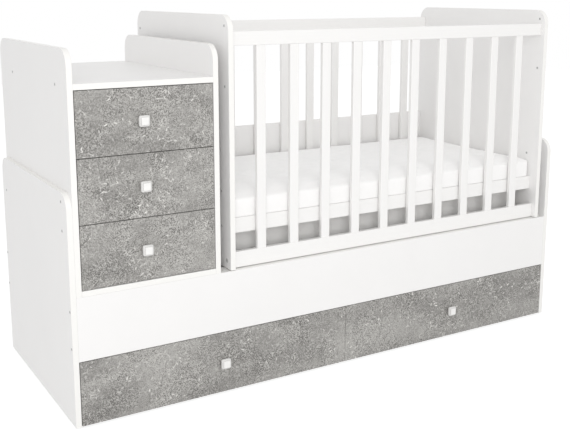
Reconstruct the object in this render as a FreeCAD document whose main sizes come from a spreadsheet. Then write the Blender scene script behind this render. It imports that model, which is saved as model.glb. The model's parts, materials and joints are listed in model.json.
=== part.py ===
import FreeCAD, Part
import os
import re

# Convertible crib: a low bed base with two wide drawers, a three-drawer chest standing on its left part,
# and a crib that hangs on four swing links over its right part. Millimetres, +Z up, front towards -Y.
# The origin is on the floor, under the middle of the overall box.

os.makedirs("parts", exist_ok=True)
doc = FreeCAD.newDocument("ConvertibleCrib")

# Driving dimensions
SIZES = {
    # Laminated boards
    "board": 16,
    "edge_radius": 0.8,
    "panel_corner_radius": 45,
    "depth": 668,
    # Bed base
    "base_end_top": 650,
    "glide_height": 3,
    "glide_radius": 7,
    "glide_inset": 60,
    "fascia_bottom": 190,
    "fascia_top": 370,
    "base_back_bottom": 40,
    "partition_setback": 2,
    # Chest
    "chest_width": 427,
    "chest_height": 565,
    "chest_side_rise": 89,
    "chest_back_thickness": 4,
    # Crib
    "end_gap": 32,
    "crib_inner_length": 1204,
    "crib_lift": 2,
    "crib_height": 730,
    "rail_recess": 16,
    "rail_thickness": 16,
    "top_rail_drop": 46,
    "top_rail_height": 40,
    "back_rail_rise": 8,
    "bottom_rail_height": 48,
    "rail_edge_radius": 2,
    "bar_width": 30,
    "bar_thickness": 14,
    "bar_edge_radius": 2.5,
    "back_board_rise": 165,
    # Mattress and its base
    "mattress_clearance": 2,
    "mattress_height": 62,
    "mattress_crown": 9,
    "mattress_side_bulge": 5,
    "mattress_base_rise": 52,
    "base_rail_height": 45,
    "base_rail_clearance": 2,
    "bearer_inset": 44,
    "bearer_drop": 78,
    "slat_width": 62,
    "slat_thickness": 12,
    # Swing suspension
    "ledge_thickness": 10,
    "ledge_clearance": 2,
    "lower_pin_rise": 29,
    "link_width": 26,
    "link_thickness": 5,
    "link_side_gap": 8,
    "link_inset": 90,
    "pin_radius": 6,
    "pin_clearance": 0.05,
    "pin_end_play": 0.3,
    "pin_seat_wall": 4,
    "collar_radius": 10,
    "pin_head_radius": 9,
    "pin_head_clearance": 2.7,
    "carrier_clearance": 12,
    "carrier_overlap": 34,
    # Drawers
    "front_gap": 2,
    "centre_gap": 1.2,
    "drawer_side": 12,
    "drawer_bottom_thickness": 4,
    "drawer_back_space": 76,
    "drawer_box_rise": 14,
    "drawer_box_drop": 40,
    "runner_side_play": 1,
    "runner_thickness": 6,
    "runner_height": 36,
    "runner_setback": 60,
    "runner_rise": 8,
    "runner_play": 0.3,
    "runner_foot": 3,
    # Knobs
    "knob_width": 30,
    "knob_plate_thickness": 7,
    "knob_corner_radius": 5,
    "knob_rim_radius": 1.5,
    "knob_boss_width": 21,
    "knob_boss_height": 5,
    "knob_boss_radius": 2,
    "knob_stem_length": 10,
    "knob_stem_radius": 7,
    "chest_knob_shift": 13,
    # Bolt and screw caps
    "cap_radius": 4.5,
    "foot_cap_radius": 7,
    "cap_thickness": 0.8,
    "upper_hole_drop": 30,
    "lower_hole_drop": 199,
    "mattress_step": 104,
    "mattress_bolt_inset": 54,
    "tie_bolt_inset": 44,
    "tie_bolt_drop": 25,
    "tie_bolt_pitch": 79,
    "fascia_screw_inset": 38,
    "top_screw_front": 100,
    "top_screw_back": 138,
}
BAR_COUNT = 10
SLAT_COUNT = 12

sheet = doc.addObject("Spreadsheet::Sheet", "Sizes")
for row, (name, number) in enumerate(SIZES.items(), 1):
    sheet.set(f"A{row}", name)
    sheet.set(f"B{row}", str(number))
    sheet.setAlias(f"B{row}", name)
doc.recompute()

# Places that follow from the sizes, as expressions: X from the left end's outer face, Y from the front plane
CHEST_LEFT = "board"
CHEST_RIGHT = "(board + chest_width)"
CRIB_LEFT = f"({CHEST_RIGHT} + end_gap)"
CRIB_INNER_LEFT = f"({CRIB_LEFT} + board)"
CRIB_INNER_RIGHT = f"({CRIB_INNER_LEFT} + crib_inner_length)"
CRIB_RIGHT = f"({CRIB_INNER_RIGHT} + board)"
LENGTH = f"({CRIB_RIGHT} + end_gap + board)"
INNER_LENGTH = f"({LENGTH} - 2 * board)"
KNOB_PROJECTION = "(knob_boss_height + knob_plate_thickness + knob_stem_length)"
FRONT = f"(({KNOB_PROJECTION} - depth) / 2)"
CHEST_TOP_LEVEL = "(fascia_top + chest_height)"
CHEST_SIDE_TOP = f"({CHEST_TOP_LEVEL} + chest_side_rise)"
CRIB_BOTTOM = "(fascia_top + crib_lift)"
CRIB_TOP = f"({CRIB_BOTTOM} + crib_height)"
DECK_TOP = "(fascia_bottom + board)"
INNER_DEPTH = "(depth - 2 * board)"
RAIL_BACK = "(rail_recess + rail_thickness)"
BAR_FRONT = "(rail_recess + (rail_thickness - bar_thickness) / 2)"
TOP_RAIL_TOP = f"({CRIB_TOP} - top_rail_drop)"
TOP_RAIL_BOTTOM = f"({TOP_RAIL_TOP} - top_rail_height)"
BACK_RAIL_BOTTOM = f"({TOP_RAIL_BOTTOM} + back_rail_rise)"
BOTTOM_RAIL_TOP = f"({CRIB_BOTTOM} + bottom_rail_height)"
BASE_RAIL_FRONT = f"({RAIL_BACK} + base_rail_clearance)"
BASE_RAIL_BOTTOM = f"({BOTTOM_RAIL_TOP} + mattress_base_rise)"
MATTRESS_LEVEL = f"({BASE_RAIL_BOTTOM} + base_rail_height)"
BACK_BOARD_TOP = f"({MATTRESS_LEVEL} + back_board_rise)"
LINK_FRONT = "(2 * board + link_side_gap)"
CARRIER_FRONT = f"({LINK_FRONT} + link_thickness + link_side_gap)"
SWING_RAIL_TOP = "(fascia_top - ledge_thickness)"
LEDGE_WIDTH = f"({CARRIER_FRONT} - ledge_clearance - board)"
UPPER_PIN_LEVEL = f"({SWING_RAIL_TOP} - ledge_clearance - link_width / 2)"
LOWER_PIN_LEVEL = f"({DECK_TOP} + lower_pin_rise)"
PIN_SEAT_DEPTH = "(board - pin_seat_wall)"
CARRIER_BOTTOM = f"({DECK_TOP} + carrier_clearance)"
CARRIER_TOP = f"({CRIB_BOTTOM} + carrier_overlap)"
DRAWER_DEPTH = f"({INNER_DEPTH} - drawer_back_space)"
RUNNER_LENGTH = f"({DRAWER_DEPTH} - runner_setback)"
RUNNER_SPACE = "(2 * runner_thickness + runner_side_play)"
PARTITION_LEFT = f"(({LENGTH} - board) / 2)"

nodes = []


def expr(text):
    """The expression with every size name pointed at its cell."""
    def cell(word):
        return f"Sizes.{word.group()}" if word.group() in SIZES else word.group()

    return re.sub(r"[a-z_]+", cell, text)


def bind(thing, **texts):
    for prop, text in texts.items():
        thing.setExpression(prop, expr(text))


def place(thing, x, y, z):
    """Put an object at a place measured from the left end, the front plane and the floor."""
    thing.setExpression("Placement.Base.x", expr(f"{x} - {LENGTH} / 2"))
    thing.setExpression("Placement.Base.y", expr(f"{y} + {FRONT}"))
    thing.setExpression("Placement.Base.z", expr(z))


def node(thing):
    """Keep an object as a sub-part of its own, under its label."""
    nodes.append(thing)
    return thing


def block(label, corner, size):
    """A plain rectangular piece."""
    box = doc.addObject("Part::Box", label)
    box.Label = label
    bind(box, Length=size[0], Width=size[1], Height=size[2])
    place(box, *corner)
    return box


def rod(label, axis, centre, radius, length):
    """A round piece whose axis runs along +X, +Y or +Z from its centre point."""
    turns = {
        "X": FreeCAD.Rotation(FreeCAD.Vector(0, 1, 0), 90),
        "Y": FreeCAD.Rotation(FreeCAD.Vector(1, 0, 0), -90),
        "Z": FreeCAD.Rotation(),
    }
    cylinder = doc.addObject("Part::Cylinder", label)
    cylinder.Label = label
    cylinder.Placement = FreeCAD.Placement(FreeCAD.Vector(), turns[axis])
    bind(cylinder, Radius=radius, Height=length)
    place(cylinder, *centre)
    return cylinder


def group(label, pieces):
    compound = doc.addObject("Part::Compound", label)
    compound.Label = label
    compound.Links = pieces
    return compound


def union(label, pieces):
    fusion = doc.addObject("Part::MultiFuse", label)
    fusion.Label = label
    fusion.Shapes = pieces
    return fusion


def cut(label, base, tool):
    difference = doc.addObject("Part::Cut", label)
    difference.Label = label
    difference.Base = base
    difference.Tool = tool
    return difference


def round_edges(body, radius, chosen):
    """Fillet those edges of a body's last feature that the test chooses."""
    doc.recompute()
    last = body.Tip
    box = last.Shape.BoundBox
    picked = [f"Edge{number}" for number, edge in enumerate(last.Shape.Edges, 1) if chosen(edge, box)]
    fillet = body.newObject("PartDesign::Fillet", f"{body.Name}_fillet")
    fillet.Base = (last, picked)
    bind(fillet, Radius=radius)
    body.Tip = fillet


def along(edge, axis):
    """True where an edge is straight and runs along the axis, 0 for X, 1 for Y, 2 for Z."""
    if not isinstance(edge.Curve, Part.Line):
        return False
    return abs(abs(edge.Curve.Direction[axis]) - 1) < edge.Tolerance


def any_edge(edge, box):
    return True


def top_corner(edge, box):
    return along(edge, 0) and abs(edge.BoundBox.ZMax - box.ZMax) < edge.Tolerance


def face_outline(edge, box):
    """Edges round the two large faces of a panel that stands across the length."""
    return not along(edge, 0)


def panel(label, corner, size, radius="edge_radius", chosen=any_edge, corners=None):
    """A board with softened edges, and with two rounded top corners where a radius is given for them."""
    body = doc.addObject("PartDesign::Body", label)
    body.Label = label
    core = body.newObject("PartDesign::AdditiveBox", f"{label}_core")
    bind(core, Length=size[0], Width=size[1], Height=size[2])
    place(body, *corner)
    if corners:
        round_edges(body, corners, top_corner)
        chosen = face_outline
    round_edges(body, radius, chosen)
    return body


def end_panel(label, x, bottom, top):
    """An upright end board over the full depth with rounded top corners."""
    size = ("board", "depth", f"{top} - {bottom}")
    return node(panel(label, (x, "0", bottom), size, corners="panel_corner_radius"))


def mirrored(y, thickness):
    """The front-to-back place of a piece mirrored to the back."""
    return f"(depth - {y} - {thickness})"


# Bed base: two ends, fascia, back board, deck and the partition between the wide drawers
end_panel("base_left_end", "0", "glide_height", "base_end_top")
end_panel("base_right_end", f"({LENGTH} - board)", "glide_height", "base_end_top")
fascia_size = (INNER_LENGTH, "board", "fascia_top - fascia_bottom")
node(panel("base_front_fascia", ("board", "0", "fascia_bottom"), fascia_size))
back_size = (INNER_LENGTH, "board", "fascia_top - base_back_bottom")
node(panel("base_back_board", ("board", "depth - board", "base_back_bottom"), back_size))
node(panel("base_deck", ("board", "board", "fascia_bottom"), (INNER_LENGTH, INNER_DEPTH, "board")))
partition_front = "(board + partition_setback)"
partition_size = ("board", f"depth - board - {partition_front}", "fascia_bottom - glide_height")
node(panel("base_centre_partition", (PARTITION_LEFT, partition_front, "glide_height"), partition_size))
support_size = ("board", INNER_DEPTH, f"fascia_top - {DECK_TOP}")
node(panel("chest_support", (f"{CHEST_RIGHT} - board", "board", DECK_TOP), support_size))

glides = []
glide_rows = {
    "left": "board / 2",
    "middle": f"{PARTITION_LEFT} + board / 2",
    "right": f"{LENGTH} - board / 2",
}
for post, x in glide_rows.items():
    for side, y in (("front", "glide_inset"), ("back", "depth - glide_inset")):
        glides.append(rod(f"glide_{post}_{side}", "Z", (x, y, "0"), "glide_radius", "glide_height"))
node(group("floor_glides", glides))

# Chest carcass on the base: sides that rise above the top, bottom, top and a thin back
end_panel("chest_left_side", CHEST_LEFT, "fascia_top", CHEST_SIDE_TOP)
end_panel("chest_right_side", f"({CHEST_RIGHT} - board)", "fascia_top", CHEST_SIDE_TOP)
CHEST_INNER_LEFT = "(2 * board)"
CHEST_INNER_WIDTH = "(chest_width - 2 * board)"
CHEST_FLOOR = "(fascia_top + board)"
CHEST_CEILING = f"({CHEST_TOP_LEVEL} - board)"
shelf_size = (CHEST_INNER_WIDTH, "depth - chest_back_thickness", "board")
node(panel("chest_bottom", (CHEST_INNER_LEFT, "0", "fascia_top"), shelf_size))
node(panel("chest_top", (CHEST_INNER_LEFT, "0", CHEST_CEILING), shelf_size))
chest_back_size = (CHEST_INNER_WIDTH, "chest_back_thickness", "chest_height")
node(block("chest_back", (CHEST_INNER_LEFT, "depth - chest_back_thickness", "fascia_top"), chest_back_size))

# Crib ends, and a front and a back side of bars between two rails, with a solid board behind the back bars
end_panel("crib_left_end", CRIB_LEFT, CRIB_BOTTOM, CRIB_TOP)
end_panel("crib_right_end", CRIB_INNER_RIGHT, CRIB_BOTTOM, CRIB_TOP)
BACK_RAIL = mirrored("rail_recess", "rail_thickness")
BACK_BAR = mirrored(BAR_FRONT, "bar_thickness")
top_rail_size = ("crib_inner_length", "rail_thickness", "top_rail_height")
bottom_rail_size = ("crib_inner_length", "rail_thickness", "bottom_rail_height")
front_top = (CRIB_INNER_LEFT, "rail_recess", TOP_RAIL_BOTTOM)
node(panel("front_top_rail", front_top, top_rail_size, "rail_edge_radius"))
front_bottom = (CRIB_INNER_LEFT, "rail_recess", CRIB_BOTTOM)
node(panel("front_bottom_rail", front_bottom, bottom_rail_size, "rail_edge_radius"))
back_top = (CRIB_INNER_LEFT, BACK_RAIL, BACK_RAIL_BOTTOM)
node(panel("back_top_rail", back_top, top_rail_size, "rail_edge_radius"))
back_bottom = (CRIB_INNER_LEFT, BACK_RAIL, CRIB_BOTTOM)
node(panel("back_bottom_rail", back_bottom, bottom_rail_size, "rail_edge_radius"))
back_board_corner = (CRIB_INNER_LEFT, "depth - rail_recess", CRIB_BOTTOM)
back_board_size = ("crib_inner_length", "rail_recess", f"{BACK_BOARD_TOP} - {CRIB_BOTTOM}")
node(panel("crib_back_board", back_board_corner, back_board_size))


def upright(edge, box):
    return along(edge, 2)


def bars(label, y, top):
    """A row of flat bars with equal gaps between the crib's ends, from the bottom rail up to the top rail."""
    gap = f"((crib_inner_length - {BAR_COUNT} * bar_width) / {BAR_COUNT + 1})"
    size = ("bar_width", "bar_thickness", f"{top} - {BOTTOM_RAIL_TOP}")
    row = []
    for number in range(1, BAR_COUNT + 1):
        x = f"{CRIB_INNER_LEFT} + {number} * {gap} + {number - 1} * bar_width"
        row.append(panel(f"{label}_{number}", (x, y, BOTTOM_RAIL_TOP), size, "bar_edge_radius", upright))
    return node(group(label, row))


bars("front_bars", BAR_FRONT, TOP_RAIL_BOTTOM)
bars("back_bars", BACK_BAR, BACK_RAIL_BOTTOM)

# Mattress base: a frame of rails on edge, with slats let in flush with its top and deep bearers under them
BASE_RAIL_BACK = mirrored(BASE_RAIL_FRONT, "board")
long_rail = ("crib_inner_length", "board", "base_rail_height")
end_rail = ("board", f"{BASE_RAIL_BACK} - {BASE_RAIL_FRONT} - board", "base_rail_height")
END_RAIL_FRONT = f"({BASE_RAIL_FRONT} + board)"
BEARER_FRONT = f"({END_RAIL_FRONT} + bearer_inset)"
BEARER_BACK = mirrored(BEARER_FRONT, "board")
BEARER_LEFT = f"({CRIB_INNER_LEFT} + board)"
BEARER_BOTTOM = f"({BASE_RAIL_BOTTOM} - bearer_drop)"
bearer = ("crib_inner_length - 2 * board", "board", "bearer_drop + base_rail_height - slat_thickness")
node(group("mattress_base_rails", [
    panel("base_rail_front", (CRIB_INNER_LEFT, BASE_RAIL_FRONT, BASE_RAIL_BOTTOM), long_rail),
    panel("base_rail_back", (CRIB_INNER_LEFT, BASE_RAIL_BACK, BASE_RAIL_BOTTOM), long_rail),
    panel("base_rail_left", (CRIB_INNER_LEFT, END_RAIL_FRONT, BASE_RAIL_BOTTOM), end_rail),
    panel("base_rail_right", (f"{CRIB_INNER_RIGHT} - board", END_RAIL_FRONT, BASE_RAIL_BOTTOM), end_rail),
    panel("base_bearer_front", (BEARER_LEFT, BEARER_FRONT, BEARER_BOTTOM), bearer),
    panel("base_bearer_back", (BEARER_LEFT, BEARER_BACK, BEARER_BOTTOM), bearer),
]))
slat_gap = f"((crib_inner_length - 2 * board - {SLAT_COUNT} * slat_width) / {SLAT_COUNT + 1})"
slats = []
for number in range(1, SLAT_COUNT + 1):
    slat_x = f"{CRIB_INNER_LEFT} + board + {number} * {slat_gap} + {number - 1} * slat_width"
    slat_corner = (slat_x, END_RAIL_FRONT, f"{MATTRESS_LEVEL} - slat_thickness")
    slats.append(block(f"slat_{number}", slat_corner, ("slat_width", end_rail[1], "slat_thickness")))
node(group("mattress_slats", slats))


def mattress_section(x, width, height, crown, bulge):
    """Closed outline across the mattress: flat underside, bulging sides and a crowned top."""
    side = width / 2 - bulge
    right_low = FreeCAD.Vector(x, side, 0)
    right_high = FreeCAD.Vector(x, side, height)
    left_low = FreeCAD.Vector(x, -side, 0)
    left_high = FreeCAD.Vector(x, -side, height)
    right_arc = Part.Arc(right_low, FreeCAD.Vector(x, width / 2, height / 2), right_high)
    top_arc = Part.Arc(right_high, FreeCAD.Vector(x, 0, height + crown), left_high)
    left_arc = Part.Arc(left_high, FreeCAD.Vector(x, -width / 2, height / 2), left_low)
    edges = [Part.LineSegment(left_low, right_low), right_arc, top_arc, left_arc]
    return Part.Wire([edge.toShape() for edge in edges])


# Shares of the length, width, height and crown at each section: soft ends, and sides drawn in at the middle
MATTRESS_SHARES = (
    (0.0, 0.980, 0.84, 0.10),
    (0.02, 0.996, 0.97, 0.30),
    (0.10, 1.000, 1.00, 0.70),
    (0.50, 0.994, 1.00, 1.00),
    (0.90, 1.000, 1.00, 0.70),
    (0.98, 0.996, 0.97, 0.30),
    (1.0, 0.980, 0.84, 0.10),
)
side_width = sheet.get("rail_recess") + sheet.get("rail_thickness") + sheet.get("mattress_clearance")
mattress_length = sheet.get("crib_inner_length") - 2 * sheet.get("mattress_clearance")
mattress_width = sheet.get("depth") - 2 * side_width
sections = []
for length_share, width_share, height_share, crown_share in MATTRESS_SHARES:
    sections.append(mattress_section(
        mattress_length * length_share,
        mattress_width * width_share,
        sheet.get("mattress_height") * height_share,
        sheet.get("mattress_crown") * crown_share,
        sheet.get("mattress_side_bulge"),
    ))
mattress = doc.addObject("Part::Feature", "mattress")
mattress.Label = "mattress"
mattress.Shape = Part.makeLoft(sections, True, True)
place(mattress, f"{CRIB_INNER_LEFT} + mattress_clearance", "depth / 2", MATTRESS_LEVEL)
node(mattress)

# Swing suspension: links hang from pins in the base's swing rails and carry pins in the crib's carriers.
# A ledge on each swing rail covers the links and is level with the fascia's top.
LINK_PLACES = {
    "left": f"({CRIB_INNER_LEFT} + link_inset)",
    "right": f"({CRIB_INNER_RIGHT} - link_inset)",
}


def span(y, length, side):
    """Where a piece starts, front to back, when it is given for the front and may be mirrored to the back."""
    return y if side == "front" else mirrored(y, length)


def pin(label, side, x, z, seat, facing):
    """A stepped pin: stud in its board, collar, journal through the link, and a retaining head.

    seat is the board's face that the collar meets, and facing is 1 where the pin points to the back
    of a front piece, -1 where it points to the front.
    """
    collar = "(link_side_gap - pin_end_play)"
    journal = "(link_thickness + 2 * pin_end_play)"
    steps = (
        ("stud", f"-{PIN_SEAT_DEPTH}", PIN_SEAT_DEPTH, "pin_radius"),
        ("collar", "0", collar, "collar_radius"),
        ("journal", collar, journal, "pin_radius"),
        ("head", f"({collar} + {journal})", f"({collar} - pin_head_clearance)", "pin_head_radius"),
    )
    pieces = []
    for name, start, length, radius in steps:
        near = f"({seat} + {start})" if facing > 0 else f"({seat} - {start} - {length})"
        pieces.append(rod(f"{label}_{name}", "Y", (x, span(near, length, side), z), radius, length))
    return union(label, pieces)


def seat_holes(label, side, y, z):
    """The blind holes that take the studs of two pins in one board."""
    holes = []
    for end, x in LINK_PLACES.items():
        start = (x, span(y, PIN_SEAT_DEPTH, side), z)
        holes.append(rod(f"{label}_{end}", "Y", start, "pin_radius", PIN_SEAT_DEPTH))
    return group(label, holes)


def swing_link(side, end, x):
    """A flat steel link with round ends and two bearing holes."""
    label = f"link_{side}_{end}"
    y = span(LINK_FRONT, "link_thickness", side)
    bore = "(pin_radius + pin_clearance)"
    shank_size = ("link_width", "link_thickness", f"{UPPER_PIN_LEVEL} - {LOWER_PIN_LEVEL}")
    outline = [
        block(f"{label}_shank", (f"{x} - link_width / 2", y, LOWER_PIN_LEVEL), shank_size),
        rod(f"{label}_top", "Y", (x, y, UPPER_PIN_LEVEL), "link_width / 2", "link_thickness"),
        rod(f"{label}_foot", "Y", (x, y, LOWER_PIN_LEVEL), "link_width / 2", "link_thickness"),
    ]
    bores = [
        rod(f"{label}_upper_bore", "Y", (x, y, UPPER_PIN_LEVEL), bore, "link_thickness"),
        rod(f"{label}_lower_bore", "Y", (x, y, LOWER_PIN_LEVEL), bore, "link_thickness"),
    ]
    return node(cut(label, union(f"{label}_plate", outline), group(f"{label}_bores", bores)))


upper_pins = []
lower_pins = []
for side in ("front", "back"):
    rail_corner = (CHEST_RIGHT, span("board", "board", side), DECK_TOP)
    rail_length = f"{LENGTH} - board - {CHEST_RIGHT}"
    rail_size = (rail_length, "board", f"{SWING_RAIL_TOP} - {DECK_TOP}")
    rail_board = panel(f"swing_rail_{side}_board", rail_corner, rail_size)
    rail_hole_start = f"(2 * board - {PIN_SEAT_DEPTH})"
    rail_holes = seat_holes(f"swing_rail_{side}_holes", side, rail_hole_start, UPPER_PIN_LEVEL)
    ledge_corner = (CHEST_RIGHT, span("board", LEDGE_WIDTH, side), SWING_RAIL_TOP)
    ledge = panel(f"swing_ledge_{side}", ledge_corner, (rail_length, LEDGE_WIDTH, "ledge_thickness"))
    node(group(f"swing_rail_{side}", [cut(f"swing_rail_{side}_upright", rail_board, rail_holes), ledge]))
    carrier_corner = (CRIB_INNER_LEFT, span(CARRIER_FRONT, "board", side), CARRIER_BOTTOM)
    carrier_size = ("crib_inner_length", "board", f"{CARRIER_TOP} - {CARRIER_BOTTOM}")
    carrier_board = panel(f"swing_carrier_{side}_board", carrier_corner, carrier_size)
    carrier_holes = seat_holes(f"swing_carrier_{side}_holes", side, CARRIER_FRONT, LOWER_PIN_LEVEL)
    node(cut(f"swing_carrier_{side}", carrier_board, carrier_holes))
    for end, x in LINK_PLACES.items():
        swing_link(side, end, x)
        upper_pins.append(pin(f"upper_pin_{side}_{end}", side, x, UPPER_PIN_LEVEL, "(2 * board)", 1))
        lower_pins.append(pin(f"lower_pin_{side}_{end}", side, x, LOWER_PIN_LEVEL, CARRIER_FRONT, -1))
node(group("upper_swing_pins", upper_pins))
node(group("lower_swing_pins", lower_pins))


def knob(label, x, z):
    """A square moulded knob at a point of a front: a plate with a raised square boss on its face, and a stem.

    Its own Y runs from the boss's face, at zero, to the end of the stem.
    """
    body = doc.addObject("PartDesign::Body", label)
    body.Label = label
    plate = body.newObject("PartDesign::AdditiveBox", f"{label}_plate")
    bind(plate, Length="knob_width", Width="knob_plate_thickness", Height="knob_width")
    plate.setExpression("Placement.Base.y", expr("knob_boss_height"))
    round_edges(body, "knob_corner_radius", lambda edge, box: along(edge, 1))
    round_edges(body, "knob_rim_radius", lambda edge, box: edge.BoundBox.YMax < box.Center.y)
    boss = body.newObject("PartDesign::AdditiveBox", f"{label}_boss")
    bind(boss, Length="knob_boss_width", Width="knob_boss_height", Height="knob_boss_width")
    boss.setExpression("Placement.Base.x", expr("(knob_width - knob_boss_width) / 2"))
    boss.setExpression("Placement.Base.z", expr("(knob_width - knob_boss_width) / 2"))
    body.Tip = boss
    plate_face = sheet.get("knob_boss_height")
    round_edges(body, "knob_boss_radius", lambda edge, box: edge.CenterOfMass.y < plate_face - edge.Tolerance)
    stem = body.newObject("PartDesign::AdditiveCylinder", f"{label}_stem")
    stem.Placement = FreeCAD.Placement(FreeCAD.Vector(), FreeCAD.Rotation(FreeCAD.Vector(1, 0, 0), -90))
    bind(stem, Radius="knob_stem_radius", Height="knob_stem_length")
    stem.setExpression("Placement.Base.x", expr("knob_width / 2"))
    stem.setExpression("Placement.Base.y", expr("knob_boss_height + knob_plate_thickness"))
    stem.setExpression("Placement.Base.z", expr("knob_width / 2"))
    body.Tip = stem
    place(body, f"{x} - knob_width / 2", f"-{KNOB_PROJECTION}", f"{z} - knob_width / 2")
    return node(body)


def drawer(label, bay_left, bay_width, front_left, front_width, front_bottom, front_height, knob_shift):
    """A drawer in its bay: inset front, box of boards, runner profiles and a knob.

    The knob stands left of the front's middle by a shift. Gives back the rails of the bay that carry it.
    """
    node(panel(f"{label}_front", (front_left, "0", front_bottom), (front_width, "board", front_height)))
    box_left = f"({bay_left} + {RUNNER_SPACE})"
    box_width = f"({bay_width} - 2 * {RUNNER_SPACE})"
    box_right = f"({box_left} + {box_width})"
    box_bottom = f"({front_bottom} + drawer_box_rise)"
    side_bottom = f"({box_bottom} + drawer_bottom_thickness)"
    side_height = f"({front_height} - drawer_box_rise - drawer_box_drop - drawer_bottom_thickness)"
    side_size = ("drawer_side", DRAWER_DEPTH, side_height)
    back_corner = (f"{box_left} + drawer_side", f"board + {DRAWER_DEPTH} - drawer_side", side_bottom)
    back_size = (f"{box_width} - 2 * drawer_side", "drawer_side", side_height)
    bottom_size = (box_width, DRAWER_DEPTH, "drawer_bottom_thickness")
    node(group(f"{label}_box", [
        block(f"{label}_left_side", (box_left, "board", side_bottom), side_size),
        block(f"{label}_right_side", (f"{box_right} - drawer_side", "board", side_bottom), side_size),
        block(f"{label}_back", back_corner, back_size),
        block(f"{label}_bottom", (box_left, "board", box_bottom), bottom_size),
    ]))
    runner_size = ("runner_thickness", RUNNER_LENGTH, "runner_height")
    runner_bottom = f"({box_bottom} + runner_rise)"
    foot_bottom = f"({runner_bottom} - runner_play - runner_foot)"
    foot_size = (f"{RUNNER_SPACE} - runner_play", RUNNER_LENGTH, "runner_foot")
    web_size = ("runner_thickness", RUNNER_LENGTH, "runner_height + runner_foot + runner_play")
    far_side = f"({bay_left} + {bay_width})"
    carried = []
    fixed = []
    for hand, runner, web, foot in (
        ("left", f"{box_left} - runner_thickness", bay_left, bay_left),
        ("right", box_right, f"{far_side} - runner_thickness", f"{box_right} + runner_play"),
    ):
        carried.append(block(f"{label}_runner_{hand}", (runner, "board", runner_bottom), runner_size))
        fixed.append(union(f"{label}_rail_{hand}", [
            block(f"{label}_rail_{hand}_web", (web, partition_front, foot_bottom), web_size),
            block(f"{label}_rail_{hand}_foot", (foot, partition_front, foot_bottom), foot_size),
        ]))
    node(group(f"{label}_runners", carried))
    knob_x = f"({front_left} + {front_width} / 2 - {knob_shift})"
    knob(f"{label}_knob", knob_x, f"({front_bottom} + {front_height} / 2)")
    return fixed


# Chest drawers, from the bottom up
CHEST_LEVELS = ("bottom", "middle", "top")
chest_rails = []
chest_gaps = f"{len(CHEST_LEVELS) + 1} * front_gap"
chest_front_height = f"(({CHEST_CEILING} - {CHEST_FLOOR} - {chest_gaps}) / {len(CHEST_LEVELS)})"
for number, level in enumerate(CHEST_LEVELS):
    chest_rails += drawer(
        f"chest_drawer_{level}",
        CHEST_INNER_LEFT,
        CHEST_INNER_WIDTH,
        f"({CHEST_INNER_LEFT} + front_gap)",
        f"({CHEST_INNER_WIDTH} - 2 * front_gap)",
        f"({CHEST_FLOOR} + {number + 1} * front_gap + {number} * {chest_front_height})",
        chest_front_height,
        "chest_knob_shift",
    )
node(group("chest_runner_rails", chest_rails))

# Wide drawers under the deck, left and right of the partition
base_rails = []
bay_width = f"({PARTITION_LEFT} - board)"
base_front_width = f"(({INNER_LENGTH} - 2 * front_gap - centre_gap) / 2)"
for hand, bay_left, front_left in (
    ("left", "board", "(board + front_gap)"),
    ("right", f"({PARTITION_LEFT} + board)", f"(board + front_gap + {base_front_width} + centre_gap)"),
):
    base_rails += drawer(
        f"base_drawer_{hand}",
        bay_left,
        bay_width,
        front_left,
        base_front_width,
        "(glide_height + front_gap)",
        "(fascia_bottom - glide_height - 2 * front_gap)",
        "0",
    )
node(group("base_runner_rails", base_rails))

# Caps over the bolts and screws, on the outer face of each end and on the inner face of the crib's ends
RAIL_MIDDLE = "(rail_recess + rail_thickness / 2)"
LOW_BOLT = f"({MATTRESS_LEVEL} - base_rail_height / 2)"
HIGH_BOLT = f"({LOW_BOLT} + mattress_step)"
FOOT_BOLT = f"({CRIB_BOTTOM} + bottom_rail_height / 2)"
crib_bolts = {
    "front_upper": (RAIL_MIDDLE, f"{CRIB_TOP} - upper_hole_drop"),
    "front_lower": (RAIL_MIDDLE, f"{CRIB_TOP} - lower_hole_drop"),
    "front_foot": (RAIL_MIDDLE, FOOT_BOLT),
    "mattress_low": ("mattress_bolt_inset", LOW_BOLT),
    "mattress_high": ("mattress_bolt_inset", HIGH_BOLT),
    "mattress_low_back": ("depth - mattress_bolt_inset", LOW_BOLT),
    "mattress_high_back": ("depth - mattress_bolt_inset", HIGH_BOLT),
    "back_upper": (f"depth - {RAIL_MIDDLE}", f"{BACK_RAIL_BOTTOM} + top_rail_height / 2"),
    "back_middle": ("depth - rail_recess / 2", f"{BACK_BOARD_TOP} - bottom_rail_height"),
    "back_foot": (f"depth - {RAIL_MIDDLE}", FOOT_BOLT),
}
base_bolts = {
    "tie_upper": ("tie_bolt_inset", "base_end_top - tie_bolt_drop"),
    "tie_lower": ("tie_bolt_inset", "base_end_top - tie_bolt_drop - tie_bolt_pitch"),
    "tie_back": ("depth - tie_bolt_inset", "base_end_top - tie_bolt_drop - tie_bolt_pitch"),
    "fascia_upper": ("board / 2", "fascia_top - fascia_screw_inset"),
    "fascia_lower": ("board / 2", "fascia_bottom + fascia_screw_inset"),
    "back_upper": ("depth - board / 2", "fascia_top - fascia_screw_inset"),
    "back_lower": ("depth - board / 2", "fascia_bottom + fascia_screw_inset"),
}
chest_screws = {
    "top_front": ("top_screw_front", f"{CHEST_CEILING} + board / 2"),
    "top_back": ("depth - top_screw_back", f"{CHEST_CEILING} + board / 2"),
}


def caps(label, bolts, faces):
    """A cap for every bolt on every listed face, given as the cap's own lower X, larger on foot bolts."""
    pieces = []
    for face, x in faces.items():
        for bolt, (y, z) in bolts.items():
            radius = "foot_cap_radius" if bolt.endswith("foot") else "cap_radius"
            pieces.append(rod(f"{label}_{face}_{bolt}", "X", (x, y, z), radius, "cap_thickness"))
    return pieces


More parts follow.
